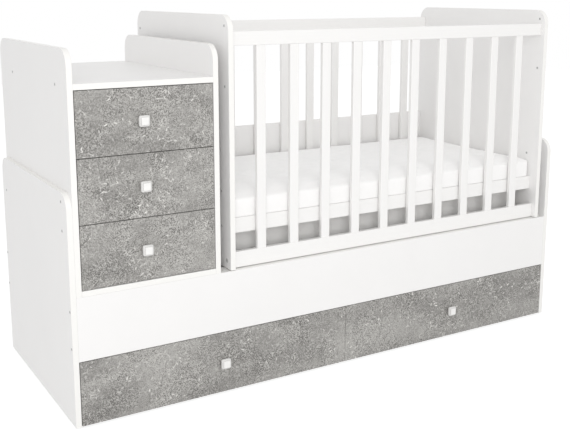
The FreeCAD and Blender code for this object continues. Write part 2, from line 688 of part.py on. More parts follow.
base_faces = {"left": "-cap_thickness", "right": LENGTH}
node(group("base_screw_caps", caps("base_cap", base_bolts, base_faces)))
chest_faces = {"left": f"{CHEST_LEFT} - cap_thickness", "right": CHEST_RIGHT}
node(group("chest_screw_caps", caps("chest_cap", chest_screws, chest_faces)))
crib_outside = {"left": f"{CRIB_LEFT} - cap_thickness", "right": CRIB_RIGHT}
crib_inside = {"inner_left": CRIB_INNER_LEFT, "inner_right": f"{CRIB_INNER_RIGHT} - cap_thickness"}
open_bolts = {name: crib_bolts[name] for name in ("front_upper", "front_lower", "mattress_high")}
crib_caps = caps("crib_cap", crib_bolts, crib_outside) + caps("crib_cap", open_bolts, crib_inside)
node(group("crib_bolt_caps", crib_caps))

doc.recompute()

failed = [thing.Label for thing in doc.Objects if "Invalid" in thing.State or "Error" in thing.State]
if failed:
    raise RuntimeError(f"objects that failed to build: {failed}")
for thing in nodes:
    if thing.Shape.isNull() or not thing.Shape.isValid():
        raise RuntimeError(f"{thing.Label} has no valid shape")
for thing in nodes:
    thing.Shape.exportStep(f"parts/{thing.Label}.step")
box = Part.makeCompound([thing.Shape for thing in nodes]).optimalBoundingBox(False, False)
solids = sum(len(thing.Shape.Solids) for thing in nodes)
print(f"{len(nodes)} nodes, {solids} solids")
print(f"box x {box.XMin:.2f} to {box.XMax:.2f}, y {box.YMin:.2f} to {box.YMax:.2f}, top {box.ZMax:.2f}")
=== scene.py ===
# %% [markdown]
# # A convertible crib, dressed in Blender
#
# The object is a piece of nursery furniture: a long bed base with two wide drawers, a chest of three
# drawers standing on its left part, and a barred crib that rocks on four links over its right part. The
# solids come ready made and in place, in metres. This lesson gives them their finishes, replaces the few
# pieces whose form is softer or finer than a plain solid (mattress, knobs, screw caps), and sets up a
# camera and a small studio.

# %% Load the frame
import json

import bpy
import numpy as np
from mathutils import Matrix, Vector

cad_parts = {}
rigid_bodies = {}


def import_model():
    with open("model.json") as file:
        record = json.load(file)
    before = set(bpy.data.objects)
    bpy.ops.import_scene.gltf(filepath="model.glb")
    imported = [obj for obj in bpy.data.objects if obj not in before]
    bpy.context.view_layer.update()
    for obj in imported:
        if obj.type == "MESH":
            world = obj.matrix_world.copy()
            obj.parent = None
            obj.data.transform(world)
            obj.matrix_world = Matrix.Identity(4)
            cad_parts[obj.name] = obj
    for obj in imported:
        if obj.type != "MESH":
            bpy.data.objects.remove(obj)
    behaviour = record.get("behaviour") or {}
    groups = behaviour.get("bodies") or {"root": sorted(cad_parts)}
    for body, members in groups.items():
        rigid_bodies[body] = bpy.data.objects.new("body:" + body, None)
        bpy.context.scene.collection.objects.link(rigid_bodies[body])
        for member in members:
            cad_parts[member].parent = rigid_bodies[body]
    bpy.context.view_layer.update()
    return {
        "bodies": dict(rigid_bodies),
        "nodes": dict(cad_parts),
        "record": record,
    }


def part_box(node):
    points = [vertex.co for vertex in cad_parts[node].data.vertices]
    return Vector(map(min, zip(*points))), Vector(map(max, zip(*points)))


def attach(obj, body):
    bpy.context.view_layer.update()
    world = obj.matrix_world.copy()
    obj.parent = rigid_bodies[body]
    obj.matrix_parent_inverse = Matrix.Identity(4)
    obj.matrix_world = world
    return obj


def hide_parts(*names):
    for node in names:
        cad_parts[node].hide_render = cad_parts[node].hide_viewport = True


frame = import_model()
nodes = frame["nodes"]
scene = bpy.context.scene
scene.view_settings.view_transform = "Standard"

# %% [markdown]
# ## Camera
#
# The camera is written in the frame's own metres: where it stands, which way it is turned and how far it
# looks down, matched to the photograph's viewing angle. A 57 mm lens from about three metres keeps the
# uprights almost parallel. The picture is taken to be 570 pixels wide, so the focal length in pixels
# becomes a lens on a 36 mm sensor. The lens is shifted down a little, as on a view camera, so that the
# camera looks down less and the uprights lean less.

# %% Camera
# Pixels
PICTURE_WIDTH = 570
PICTURE_HEIGHT = 437
FOCAL_PIXELS = 899.3
CENTRE_ROW = 164.6
# Millimetres, then metres and degrees
SENSOR_WIDTH = 36.0
CAMERA_PLACE = (-1.5485, -2.547, 1.166)
CAMERA_TURN = 30.80
CAMERA_DROP = 10.92

lens = bpy.data.cameras.new("view")
lens.sensor_width = SENSOR_WIDTH
lens.lens = FOCAL_PIXELS / PICTURE_WIDTH * SENSOR_WIDTH
lens.shift_y = (CENTRE_ROW - PICTURE_HEIGHT / 2) / PICTURE_WIDTH
camera = bpy.data.objects.new("view", lens)
camera.location = CAMERA_PLACE
camera.rotation_euler = (np.radians(90 - CAMERA_DROP), 0.0, -np.radians(CAMERA_TURN))
scene.collection.objects.link(camera)
scene.camera = camera
print("lens", round(lens.lens, 2), "mm, shift", round(lens.shift_y, 4))

# %% [markdown]
# ## Node and colour helpers
#
# Every finish below is a small network of shader nodes. One helper adds a node, sets its properties and
# fills its inputs, either with a value or with another node's output. Colours are written as sRGB hex
# codes, the way a paint chart gives them, and turned into the linear values that the renderer works in.
# Pattern sizes are written in millimetres: a noise texture has about one blob per unit of its scaled
# coordinates, so its scale is one metre divided by the blob's size.

# %% Node and colour helpers
# Places of the colour sockets on a Mix node
MIX_A = 6
MIX_B = 7
MIX_COLOUR = 2
X_AXIS, Y_AXIS, Z_AXIS = np.eye(3).tolist()


def add(tree, kind, inputs=None, **settings):
    """Add a shader node, set its properties, and fill its inputs with values or other nodes' outputs."""
    node = tree.nodes.new(kind)
    for name, value in settings.items():
        setattr(node, name, value)
    for key, value in (inputs or {}).items():
        if isinstance(value, bpy.types.NodeSocket):
            tree.links.new(value, node.inputs[key])
        else:
            node.inputs[key].default_value = value
    return node


def linear(code):
    """An sRGB hex code as linear RGBA: a straight toe below 0.04045, and a power of 2.4 above it."""
    share = np.array([int(code[i:i + 2], 16) for i in (1, 3, 5)]) / 255
    curve = np.where(share <= 0.04045, share / 12.92, ((share + 0.055) / 1.055) ** 2.4)
    return (*curve.tolist(), 1.0)


def per_mm(size):
    """Texture scale for a pattern whose features are this many millimetres apart."""
    return 1000.0 / size


def along(axis, length, width):
    """Texture scales for a grain that is long along one axis and narrow across it, in millimetres."""
    return [per_mm(length) if on else per_mm(width) for on in axis]


def new_finish(name, values):
    """A material with one Principled shader, and the Object coordinates that its patterns read."""
    material = bpy.data.materials.new(name)
    material.use_nodes = True
    tree = material.node_tree
    tree.nodes.clear()
    shader = add(tree, "ShaderNodeBsdfPrincipled", values)
    add(tree, "ShaderNodeOutputMaterial", {"Surface": shader.outputs[0]})
    place = add(tree, "ShaderNodeTexCoord").outputs["Object"]
    return material, tree, shader, place


print("#808080 is", round(linear("#808080")[0], 3), "in linear light; a 2 mm grain has scale", per_mm(2))

# %% [markdown]
# ## White melamine board
#
# Almost every panel is chipboard faced with white melamine paper, pressed against a plate with a fine
# pearl texture, and closed at its sides with a glued plastic edge band. To the eye that is a satin white
# with a soft, very fine grain, a slightly glossier band on the sides, and a hairline where band and face
# meet. The board's thin direction tells the two apart: on the faces the normal follows it, on the band
# it doesn't, and on the softened corner it is in between, which is where the hairline goes. So there is
# one finish for each direction.

# %% White melamine board
# Millimetres: clouds the size of a hand keep a large panel from looking like one flat colour, and the
# pressed pearl grain, about 0.7 on the real board, is drawn twice as coarse so that it shows at all.
BOARD_CLOUD = 160
PEARL_GRAIN = 1.4


def melamine_board(name, axis):
    """Pearl-pressed white melamine on a board that is thin along an axis, with its edge band."""
    material, tree, shader, place = new_finish(name, {"IOR": 1.5})
    normal = add(tree, "ShaderNodeNewGeometry").outputs["Normal"]
    facing = add(tree, "ShaderNodeVectorMath", {0: normal, 1: axis}, operation="DOT_PRODUCT").outputs["Value"]
    facing = add(tree, "ShaderNodeMath", {0: facing}, operation="ABSOLUTE").outputs[0]
    band = {"Value": facing, "From Min": 0.2, "From Max": 0.8, "To Min": 1.0, "To Max": 0.0}
    band = add(tree, "ShaderNodeMapRange", band).outputs[0]
    face = add(tree, "ShaderNodeMath", {0: 1.0, 1: band}, operation="SUBTRACT").outputs[0]
    hairline = add(tree, "ShaderNodeMath", {0: band, 1: face}, operation="MULTIPLY").outputs[0]
    clouds = {"Vector": place, "Scale": per_mm(BOARD_CLOUD), "Detail": 3.0, "Roughness": 0.6}
    clouds = add(tree, "ShaderNodeTexNoise", clouds).outputs[0]
    tone = {0: clouds, MIX_A: linear("#F2F1F0"), MIX_B: linear("#EEEDEC")}
    tone = add(tree, "ShaderNodeMix", tone, data_type="RGBA").outputs[MIX_COLOUR]
    tone = {0: band, MIX_A: tone, MIX_B: linear("#F1F0ED")}
    tone = add(tree, "ShaderNodeMix", tone, data_type="RGBA").outputs[MIX_COLOUR]
    tone = {0: hairline, MIX_A: tone, MIX_B: linear("#A9A7A2")}
    tone = add(tree, "ShaderNodeMix", tone, data_type="RGBA").outputs[MIX_COLOUR]
    tree.links.new(tone, shader.inputs["Base Color"])
    pearl = {"Vector": place, "Scale": per_mm(PEARL_GRAIN), "Detail": 2.0}
    pearl = add(tree, "ShaderNodeTexNoise", pearl).outputs[0]
    gloss = {"Value": band, "To Min": 0.42, "To Max": 0.32}
    gloss = add(tree, "ShaderNodeMapRange", gloss).outputs[0]
    tree.links.new(gloss, shader.inputs["Roughness"])
    relief = {"Height": pearl, "Strength": 0.35, "Distance": 0.00006}
    relief = add(tree, "ShaderNodeBump", relief).outputs[0]
    tree.links.new(relief, shader.inputs["Normal"])
    return material


board_by_axis = [
    melamine_board("white_melamine_board_x", X_AXIS),
    melamine_board("white_melamine_board_y", Y_AXIS),
    melamine_board("white_melamine_board_z", Z_AXIS),
]
print("white boards:", [m.name for m in board_by_axis])

# %% [markdown]
# ## Concrete print
#
# The drawer fronts wear a printed paper that imitates trowelled concrete, under a matt melamine film.
# Its grey has broad smears along the boards, mottles the size of a coin and a crisp sandy grain, which is
# stronger where the trowel left it rough. Each of these is a noise of its own size, and all of them read
# the same coordinates, so the print runs on from one front to the next.

# %% Concrete grey
# Millimetres: a smear's length and width, a mottle, a rough area and a grain of sand. The printed sand is
# about 1, and is drawn more than twice as coarse so that it shows.
SMEAR = (230, 90)
MOTTLE = 24
ROUGH_AREA = 60
SAND = 2.3
SMEAR_WEIGHT = 0.7
MOTTLE_WEIGHT = 0.25


def concrete_grey(tree, place):
    """Smears, mottle and sand weighed and added, from dark to light, and mottle and sand by themselves."""
    smears = add(tree, "ShaderNodeMapping", {"Vector": place, "Scale": along(X_AXIS, *SMEAR)}).outputs[0]
    smears = {"Vector": smears, "Scale": 1.0, "Detail": 1.0, "Roughness": 0.5, "Distortion": 0.6}
    smears = add(tree, "ShaderNodeTexNoise", smears).outputs[0]
    mottle = {"Vector": place, "Scale": per_mm(MOTTLE), "Detail": 1.0, "Roughness": 0.5}
    mottle = add(tree, "ShaderNodeTexNoise", mottle).outputs[0]
    sand = {"Vector": place, "Scale": per_mm(SAND), "Detail": 1.0, "Roughness": 0.5}
    sand = add(tree, "ShaderNodeTexNoise", sand).outputs[0]
    grain = add(tree, "ShaderNodeMath", {0: sand, 1: 0.5}, operation="SUBTRACT").outputs[0]
    rough = {"Vector": place, "Scale": per_mm(ROUGH_AREA), "Detail": 2.0}
    rough = add(tree, "ShaderNodeTexNoise", rough).outputs[0]
    rough = {"Value": rough, "From Min": 0.38, "From Max": 0.62, "To Min": 1.1, "To Max": 3.0}
    rough = add(tree, "ShaderNodeMapRange", rough).outputs[0]
    value = {0: smears, 1: SMEAR_WEIGHT, 2: 0.0}
    value = add(tree, "ShaderNodeMath", value, operation="MULTIPLY_ADD").outputs[0]
    value = {0: mottle, 1: MOTTLE_WEIGHT, 2: value}
    value = add(tree, "ShaderNodeMath", value, operation="MULTIPLY_ADD").outputs[0]
    value = {0: grain, 1: rough, 2: value}
    value = add(tree, "ShaderNodeMath", value, operation="MULTIPLY_ADD").outputs[0]
    grey = {"Value": value, "From Min": 0.03, "From Max": 0.93}
    grey = add(tree, "ShaderNodeMapRange", grey).outputs[0]
    return grey, mottle, sand


print("concrete grey: from", SAND, "mm sand to", SMEAR[0], "mm smears")

# %% [markdown]
# Over the grey lies pale lime: flecks, some round and some drawn out by the trowel, and lines of hairline
# crazing that show only in places. Both come from Voronoi cells. A fleck is the middle of a cell that is
# drawn out along its turn, with about half of the cells left empty, and crazing follows the borders of
# other cells. All of it is stronger in clusters, which are the high parts of one more noise.

# %% Lime flecks and crazing
# Turn in degrees, and a cell's length and width in metres: four drawn-out kinds of fleck, two round ones
FLECKS = (
    (12, 0.034, 0.011),
    (57, 0.034, 0.011),
    (104, 0.034, 0.011),
    (151, 0.034, 0.011),
    (0, 0.015, 0.015),
    (0, 0.009, 0.009),
)
# Millimetres: a cell of the crazing, the places where it shows, and a cluster
CRAZING_CELL = 24
CRAZING_PLACE = 21
LIME_CLUSTER = 80


def lime_cover(tree, place):
    """How much lime covers each point: the larger of crazing and flecks, times the cluster's strength."""
    crazing = {"Vector": place, "Scale": per_mm(CRAZING_CELL)}
    crazing = add(tree, "ShaderNodeTexVoronoi", crazing, feature="DISTANCE_TO_EDGE").outputs["Distance"]
    crazing = {"Value": crazing, "From Min": 0.02, "From Max": 0.05, "To Min": 0.7, "To Max": 0.0}
    crazing = add(tree, "ShaderNodeMapRange", crazing).outputs[0]
    shows = {"Vector": place, "Scale": per_mm(CRAZING_PLACE), "Detail": 1.0}
    shows = add(tree, "ShaderNodeTexNoise", shows).outputs[0]
    shows = add(tree, "ShaderNodeMapRange", {"Value": shows, "From Min": 0.60, "From Max": 0.66}).outputs[0]
    lime = add(tree, "ShaderNodeMath", {0: crazing, 1: shows}, operation="MULTIPLY").outputs[0]
    for turn, length, width in FLECKS:
        drawn = {
            "Vector": place,
            "Rotation": (0.0, np.radians(turn), 0.0),
            "Scale": (length, width, width),
        }
        drawn = add(tree, "ShaderNodeMapping", drawn, vector_type="TEXTURE").outputs[0]
        cells = add(tree, "ShaderNodeTexVoronoi", {"Vector": drawn, "Scale": 1.0}, feature="F1").outputs
        fleck = cells["Distance"]
        fleck = {"Value": fleck, "From Min": 0.12, "From Max": 0.20, "To Min": 1.0, "To Max": 0.0}
        fleck = add(tree, "ShaderNodeMapRange", fleck).outputs[0]
        kept = {"Value": cells["Color"], "From Min": 0.50, "From Max": 0.70}
        kept = add(tree, "ShaderNodeMapRange", kept).outputs[0]
        fleck = add(tree, "ShaderNodeMath", {0: fleck, 1: kept}, operation="MULTIPLY").outputs[0]
        lime = add(tree, "ShaderNodeMath", {0: lime, 1: fleck}, operation="MAXIMUM").outputs[0]
    clusters = {"Vector": place, "Scale": per_mm(LIME_CLUSTER), "Detail": 4.0, "Roughness": 0.7}
    clusters = add(tree, "ShaderNodeTexNoise", clusters).outputs[0]
    clusters = {"Value": clusters, "From Min": 0.48, "From Max": 0.60, "To Min": 0.30, "To Max": 1.0}
    clusters = add(tree, "ShaderNodeMapRange", clusters).outputs[0]
    return add(tree, "ShaderNodeMath", {0: lime, 1: clusters}, operation="MULTIPLY").outputs[0]


print("lime:", len(FLECKS), "kinds of fleck, clusters of", LIME_CLUSTER, "mm")

# %% [markdown]
# The print lays these over each other. The grey picks a tone between a dark and a light one, small dark
# pores are dots at the middle of scattered cells, and the lime comes last. The film above is matt, with a
# gloss that varies a little with the mottles and a shallow relief that follows the sand.

# %% Concrete print
# Millimetres from one pore to the next
PORE_SPACING = 10


def concrete_print(name):
    """Matt melamine over a print of grey, pores and lime."""
    material, tree, shader, place = new_finish(name, {"IOR": 1.48})
    grey, mottle, sand = concrete_grey(tree, place)
    tone = {0: grey, MIX_A: linear("#605E5B"), MIX_B: linear("#BEBCB8")}
    tone = add(tree, "ShaderNodeMix", tone, data_type="RGBA").outputs[MIX_COLOUR]
    pores = {"Vector": place, "Scale": per_mm(PORE_SPACING)}
    pores = add(tree, "ShaderNodeTexVoronoi", pores, feature="F1").outputs["Distance"]
    pores = {"Value": pores, "From Min": 0.12, "From Max": 0.22, "To Min": 0.4, "To Max": 0.0}
    pores = add(tree, "ShaderNodeMapRange", pores).outputs[0]
    tone = {0: pores, MIX_A: tone, MIX_B: linear("#56544F")}
    tone = add(tree, "ShaderNodeMix", tone, data_type="RGBA").outputs[MIX_COLOUR]
    tone = {0: lime_cover(tree, place), MIX_A: tone, MIX_B: linear("#EAE8E4")}
    tone = add(tree, "ShaderNodeMix", tone, data_type="RGBA").outputs[MIX_COLOUR]
    tree.links.new(tone, shader.inputs["Base Color"])
    gloss = {"Value": mottle, "To Min": 0.5, "To Max": 0.66}
    gloss = add(tree, "ShaderNodeMapRange", gloss).outputs[0]
    tree.links.new(gloss, shader.inputs["Roughness"])
    relief = {"Height": sand, "Strength": 0.4, "Distance": 0.0001}
    relief = add(tree, "ShaderNodeBump", relief).outputs[0]
    tree.links.new(relief, shader.inputs["Normal"])
    return material


concrete = concrete_print("concrete_print_melamine")
print("drawer fronts:", concrete.name)

# %% [markdown]
# ## Lacquered rails and bars
#
# The crib's rails and bars are solid wood sprayed with a satin white lacquer. The lacquer fills the
# pores but leaves a faint ripple that follows the grain, so the relief is a noise drawn out along the
# piece, and the tone varies by only a few steps. The grain runs up the bars and along the rails, which
# takes two finishes.

# %% Lacquered rails and bars
# Millimetres: the ripple's length along the grain and its width across it
LACQUER_RIPPLE = (140, 3.2)


def lacquered_wood(name, axis):
    """Satin white lacquer over wood whose grain runs along an axis."""
    material, tree, shader, place = new_finish(name, {"IOR": 1.5, "Roughness": 0.36})
    drawn = {"Vector": place, "Scale": along(axis, *LACQUER_RIPPLE)}
    drawn = add(tree, "ShaderNodeMapping", drawn).outputs[0]
    grain = {"Vector": drawn, "Scale": 1.0, "Detail": 4.0, "Roughness": 0.6, "Distortion": 0.3}
    grain = add(tree, "ShaderNodeTexNoise", grain).outputs[0]
    tone = {0: grain, MIX_A: linear("#F2F1F0"), MIX_B: linear("#EDECEA")}
    tone = add(tree, "ShaderNodeMix", tone, data_type="RGBA").outputs[MIX_COLOUR]
    tree.links.new(tone, shader.inputs["Base Color"])
    relief = {"Height": grain, "Strength": 0.5, "Distance": 0.00012}
    relief = add(tree, "ShaderNodeBump", relief).outputs[0]
    tree.links.new(relief, shader.inputs["Normal"])
    return material


lacquer_along = lacquered_wood("satin_lacquer_on_rails", X_AXIS)
lacquer_up = lacquered_wood("satin_lacquer_on_bars", Z_AXIS)
print("lacquer:", lacquer_along.name, lacquer_up.name)

# %% [markdown]
# ## Plain boards, plastics and metals
#
# The pieces inside and the small fittings have simpler skins. Drawer boxes are plain white melamine, the
# chest's thin back is painted hardboard, runners are powder-coated steel, links and pins are steel plated
# with zinc, and knobs, caps and glides are moulded plastic. They share one recipe: two close tones picked
# by a noise, a roughness picked by the same noise, and a fine relief. What differs is the size of the
# pattern, the gloss and whether it is a metal.

# %% Plain boards, plastics and metals
def even_skin(name, tones, size, roughness, relief_depth, grit, values):
    """Two close tones and a roughness range picked by one noise, over a finer relief, in millimetres."""
    material, tree, shader, place = new_finish(name, values)
    patch = {"Vector": place, "Scale": per_mm(size), "Detail": 3.0, "Roughness": 0.6}
    patch = add(tree, "ShaderNodeTexNoise", patch).outputs[0]
    spread = {"Value": patch, "From Min": 0.3, "From Max": 0.7}
    spread = add(tree, "ShaderNodeMapRange", spread).outputs[0]
    tone = {0: spread, MIX_A: linear(tones[0]), MIX_B: linear(tones[1])}
    tone = add(tree, "ShaderNodeMix", tone, data_type="RGBA").outputs[MIX_COLOUR]
    tree.links.new(tone, shader.inputs["Base Color"])
    gloss = {"Value": spread, "To Min": roughness[0], "To Max": roughness[1]}
    gloss = add(tree, "ShaderNodeMapRange", gloss).outputs[0]
    tree.links.new(gloss, shader.inputs["Roughness"])
    fine = {"Vector": place, "Scale": per_mm(grit), "Detail": 2.0}
    fine = add(tree, "ShaderNodeTexNoise", fine).outputs[0]
    relief = {"Height": fine, "Strength": 0.5, "Distance": relief_depth / 1000}
    relief = add(tree, "ShaderNodeBump", relief).outputs[0]
    tree.links.new(relief, shader.inputs["Normal"])
    return material


PLAIN = {"IOR": 1.5}
METAL = {"Metallic": 1.0}
# Plain pressed melamine: an even, faintly warm white with a dull shine
box_board = even_skin("drawer_box_melamine", ("#EFEEEB", "#EAE9E6"), 120, (0.40, 0.48), 0.05, 1.4, PLAIN)
# Hardboard under a thin coat of paint: small clouds, pressed pits and no gloss
hardboard = even_skin("painted_hardboard", ("#EBEAE6", "#E4E2DD"), 9, (0.55, 0.70), 0.12, 1.8, PLAIN)
# Powder melted onto steel: a neutral white with a satin skin like fine orange peel
powder_coat = even_skin("white_powder_coat", ("#ECECEA", "#E6E6E4"), 40, (0.38, 0.48), 0.06, 1.6, PLAIN)
# Zinc plated from a bath: a cool metal with bright and dull patches
zinc_plate = even_skin("zinc_plated_steel", ("#C3C7CB", "#A8ACB1"), 7, (0.26, 0.44), 0.03, 1.0, METAL)
# Moulded polyamide: a flat light grey on the cap, a duller one in its socket, made darker as painted shade
screw_cap = even_skin("grey_polyamide_cap", ("#CFCFCE", "#C4C4C3"), 6, (0.40, 0.50), 0.03, 0.8, PLAIN)
socket_painted_shade = even_skin("grey_polyamide_socket_painted_shade", ("#A2A2A1", "#969695"), 4, (0.50, 0.60), 0.03, 0.8, PLAIN)
# ABS from a polished mould is white and glossy, and from a spark-eroded one matt.
# The matt one is also a greyer white, which is painted shade round the knob's boss.
polished_abs = even_skin("polished_white_abs", ("#EFEEEC", "#ECEBE9"), 14, (0.20, 0.28), 0.02, 1.2, PLAIN)
eroded_abs_painted_shade = even_skin("spark_eroded_abs_painted_shade", ("#DDDCDA", "#D6D5D3"), 14, (0.46, 0.56), 0.05, 1.0, PLAIN)
# Moulded polyethylene: a waxy off-white
moulded_glide = even_skin("moulded_polyethylene", ("#DDDCD8", "#D2D1CC"), 10, (0.45, 0.55), 0.04, 1.0, PLAIN)
print("inner skins:", box_board.name, hardboard.name, powder_coat.name, zinc_plate.name)

# %% [markdown]
# ## Birch slats
#
# The slats under the mattress are sanded birch, left bare. Birch is pale and even: soft bands along the
# slat, a fine fibre, and short darker flecks. Bands and fibre are the same drawn-out noise at two
# widths, and flecks are the peaks of a shorter one.

# %% Birch slats
# Millimetres: length along the grain and width across it
BIRCH_BAND = (420, 16)
BIRCH_FIBRE = (60, 1.3)
BIRCH_FLECK = (11, 1.1)


def sanded_birch(name, axis):
    """Bare birch with its grain along an axis."""
    material, tree, shader, place = new_finish(name, {"IOR": 1.5, "Roughness": 0.62})
    bands = add(tree, "ShaderNodeMapping", {"Vector": place, "Scale": along(axis, *BIRCH_BAND)}).outputs[0]
    bands = {"Vector": bands, "Scale": 1.0, "Detail": 3.0, "Distortion": 0.8}
    bands = add(tree, "ShaderNodeTexNoise", bands).outputs[0]
    fibre = add(tree, "ShaderNodeMapping", {"Vector": place, "Scale": along(axis, *BIRCH_FIBRE)}).outputs[0]
    fibre = add(tree, "ShaderNodeTexNoise", {"Vector": fibre, "Scale": 1.0, "Detail": 3.0}).outputs[0]
    flecks = add(tree, "ShaderNodeMapping", {"Vector": place, "Scale": along(axis, *BIRCH_FLECK)}).outputs[0]
    flecks = add(tree, "ShaderNodeTexNoise", {"Vector": flecks, "Scale": 1.0, "Detail": 0.0}).outputs[0]
    flecks = {"Value": flecks, "From Min": 0.66, "From Max": 0.74, "To Max": 0.45}
    flecks = add(tree, "ShaderNodeMapRange", flecks).outputs[0]
    tone = {0: bands, MIX_A: linear("#E5D0AC"), MIX_B: linear("#CFB288")}
    tone = add(tree, "ShaderNodeMix", tone, data_type="RGBA").outputs[MIX_COLOUR]
    streak = {"Value": fibre, "From Min": 0.4, "From Max": 0.75, "To Max": 0.35}
    streak = add(tree, "ShaderNodeMapRange", streak).outputs[0]
    tone = {0: streak, MIX_A: tone, MIX_B: linear("#B89A6E")}
    tone = add(tree, "ShaderNodeMix", tone, data_type="RGBA").outputs[MIX_COLOUR]
    tone = {0: flecks, MIX_A: tone, MIX_B: linear("#9A7A50")}
    tone = add(tree, "ShaderNodeMix", tone, data_type="RGBA").outputs[MIX_COLOUR]
    tree.links.new(tone, shader.inputs["Base Color"])
    relief = {"Height": fibre, "Strength": 0.6, "Distance": 0.00015}
    relief = add(tree, "ShaderNodeBump", relief).outputs[0]
    tree.links.new(relief, shader.inputs["Normal"])
    return material


birch = sanded_birch("sanded_birch_slats", Y_AXIS)
print("slats:", birch.name)

# %% [markdown]
# ## Mattress ticking
#
# The mattress cover is a white cotton ticking, woven plain and brushed to a short nap. Threads over and
# under make a fine basket of bumps, which three crossed waves draw on every side of the mattress. The nap
# catches light that passes along the surface, so the cover gets a high roughness and a full sheen, and looks
# softer and brighter than the boards around it.

# %% Mattress ticking
# Threads are about 0.6 mm apart on the real cover, and are drawn twenty times as coarse, and shallow, so
# that the render and a map baked from it can hold them.
THREAD_SPACING = 12.0
# A wave texture turns through this many radians in one unit of its coordinates.
WAVE_RADIANS = 20
# Millimetres between the thicker places in the yarn, which are a little darker
SLUB_SPACING = 35


def cotton_ticking(name):
    """Plain-woven white cotton with a brushed nap."""
    soft = {"Roughness": 0.85, "IOR": 1.45, "Sheen Weight": 1.0, "Sheen Roughness": 0.6}
    material, tree, shader, place = new_finish(name, soft)
    scale = per_mm(THREAD_SPACING) * 2 * np.pi / WAVE_RADIANS
    threads = []
    for direction in ("X", "Y", "Z"):
        wave = {"Vector": place, "Scale": scale, "Distortion": 0.6, "Detail": 1.0}
        wave = add(tree, "ShaderNodeTexWave", wave, bands_direction=direction).outputs["Fac"]
        threads.append(wave)
    weave = add(tree, "ShaderNodeMath", {0: threads[0], 1: threads[1]}, operation="ADD").outputs[0]
    weave = add(tree, "ShaderNodeMath", {0: weave, 1: threads[2]}, operation="ADD").outputs[0]
    slubs = {"Vector": place, "Scale": per_mm(SLUB_SPACING), "Detail": 4.0, "Roughness": 0.6}
    slubs = add(tree, "ShaderNodeTexNoise", slubs).outputs[0]
    tone = {0: slubs, MIX_A: linear("#F8F7F6"), MIX_B: linear("#F4F3F2")}
    tone = add(tree, "ShaderNodeMix", tone, data_type="RGBA").outputs[MIX_COLOUR]
    tree.links.new(tone, shader.inputs["Base Color"])
    relief = {"Height": weave, "Strength": 0.35, "Distance": 0.0002}
    relief = add(tree, "ShaderNodeBump", relief).outputs[0]
    tree.links.new(relief, shader.inputs["Normal"])
    return material


ticking = cotton_ticking("brushed_cotton_ticking")
print("mattress:", ticking.name)

# %% [markdown]
# ## Painting the solids
#
# The record names a material slot for every node, and one table leads from most slots to the materials
# above. Boards choose among three finishes by the direction in which they are thin, and lacquered pieces
# between two, by whether they stand or lie.

# %% Painting the solids
STANDING_PIECES = ("front_bars", "back_bars")
FINISHES = {
    "concrete_laminate": concrete,
    "drawer_board": box_board,
    "hardboard": hardboard,
    "knob_plastic": polished_abs,
    "runner_metal": powder_coat,
    "zinc_steel": zinc_plate,
    "cap_plastic": screw_cap,
    "glide_plastic": moulded_glide,
    "slat_birch": birch,
    "mattress_cloth": ticking,
}


def finish_of(name, slot):
    """The material for a node, from its slot in the record and from its own proportions."""
    if slot == "white_lacquer":
        return lacquer_up if name in STANDING_PIECES else lacquer_along
    if slot == "white_laminate":
        low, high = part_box(name)
        return board_by_axis[int(np.argmin(high - low))]
    return FINISHES[slot]


slot_of = {part["node"]: part["material_slot"] for part in frame["record"]["subparts"]}
for name, slot in slot_of.items():
    nodes[name].data.materials.clear()
    nodes[name].data.materials.append(finish_of(name, slot))
print("painted", len(slot_of), "nodes")

# %% [markdown]
# ## Surfaces from rings
#
# A knob and a screw cap are both moulded round an axis: a profile says how wide the piece is at each
# depth, and an outline says how round or square it is there. Carrying the outline along the profile gives
# a stack of rings, all worked out at once as one array. Quads join each ring to the next, and a fan of
# triangles closes both ends. Both pieces have two finishes, which meet at one of the rings.

# %% Surfaces from rings
def ring_faces(count, around):
    """Corner numbers of the quads between neighbouring rings, and of the fans that close both ends."""
    index = np.arange(count * around).reshape(count, around)
    after = np.roll(index, -1, axis=1)
    quads = np.stack([index[:-1], after[:-1], after[1:], index[1:]], axis=-1).reshape(-1, 4)
    first = np.stack([after[0], index[0], np.full(around, count * around)], axis=-1)
    last = np.stack([index[-1], after[-1], np.full(around, count * around + 1)], axis=-1)
    return quads, first, last


def ring_points(rings):
    """The points of a stack of rings, with the middle of the first and last ring after them."""
    return np.concatenate([rings.reshape(-1, 3), rings[:1].mean(axis=1), rings[-1:].mean(axis=1)])


def new_piece(name, points, faces, materials):
    """A smooth mesh object at the origin, in the frame's metres."""
    mesh = bpy.data.meshes.new(name)
    mesh.from_pydata(points.tolist(), [], faces)
    for material in materials:
        mesh.materials.append(material)
    mesh.shade_smooth()
    piece = bpy.data.objects.new(name, mesh)
    scene.collection.objects.link(piece)
    return piece


def outward(points, faces):
    """The faces turned outwards: the volume from the middle to their first corners is then positive."""
    corners = np.array([[face[0], face[1], face[2]] for face in faces])
    a, b, c = points[corners[:, 0]], points[corners[:, 1]], points[corners[:, 2]]
    centre = points.mean(axis=0)
    volume = np.einsum("ij,ij->", a - centre, np.cross(b - a, c - a))
    return faces if volume > 0 else [face[::-1] for face in faces]


def closed_rings(rings, second):
    """Points and outward faces of a stack of rings, with a 1 for each face from ring number second on."""
    count, around = rings.shape[:2]
    points = ring_points(rings)
    quads, first, last = ring_faces(count, around)
    faces = outward(points, quads.tolist() + first.tolist() + last.tolist())
    slots = np.zeros(len(faces), dtype=np.int32)
    slots[second * around:len(quads)] = 1
    slots[-around:] = 1
    return points, faces, slots


quads, first, last = ring_faces(3, 8)
print("3 rings of 8 points:", len(quads), "quads and", len(first) + len(last), "triangles")

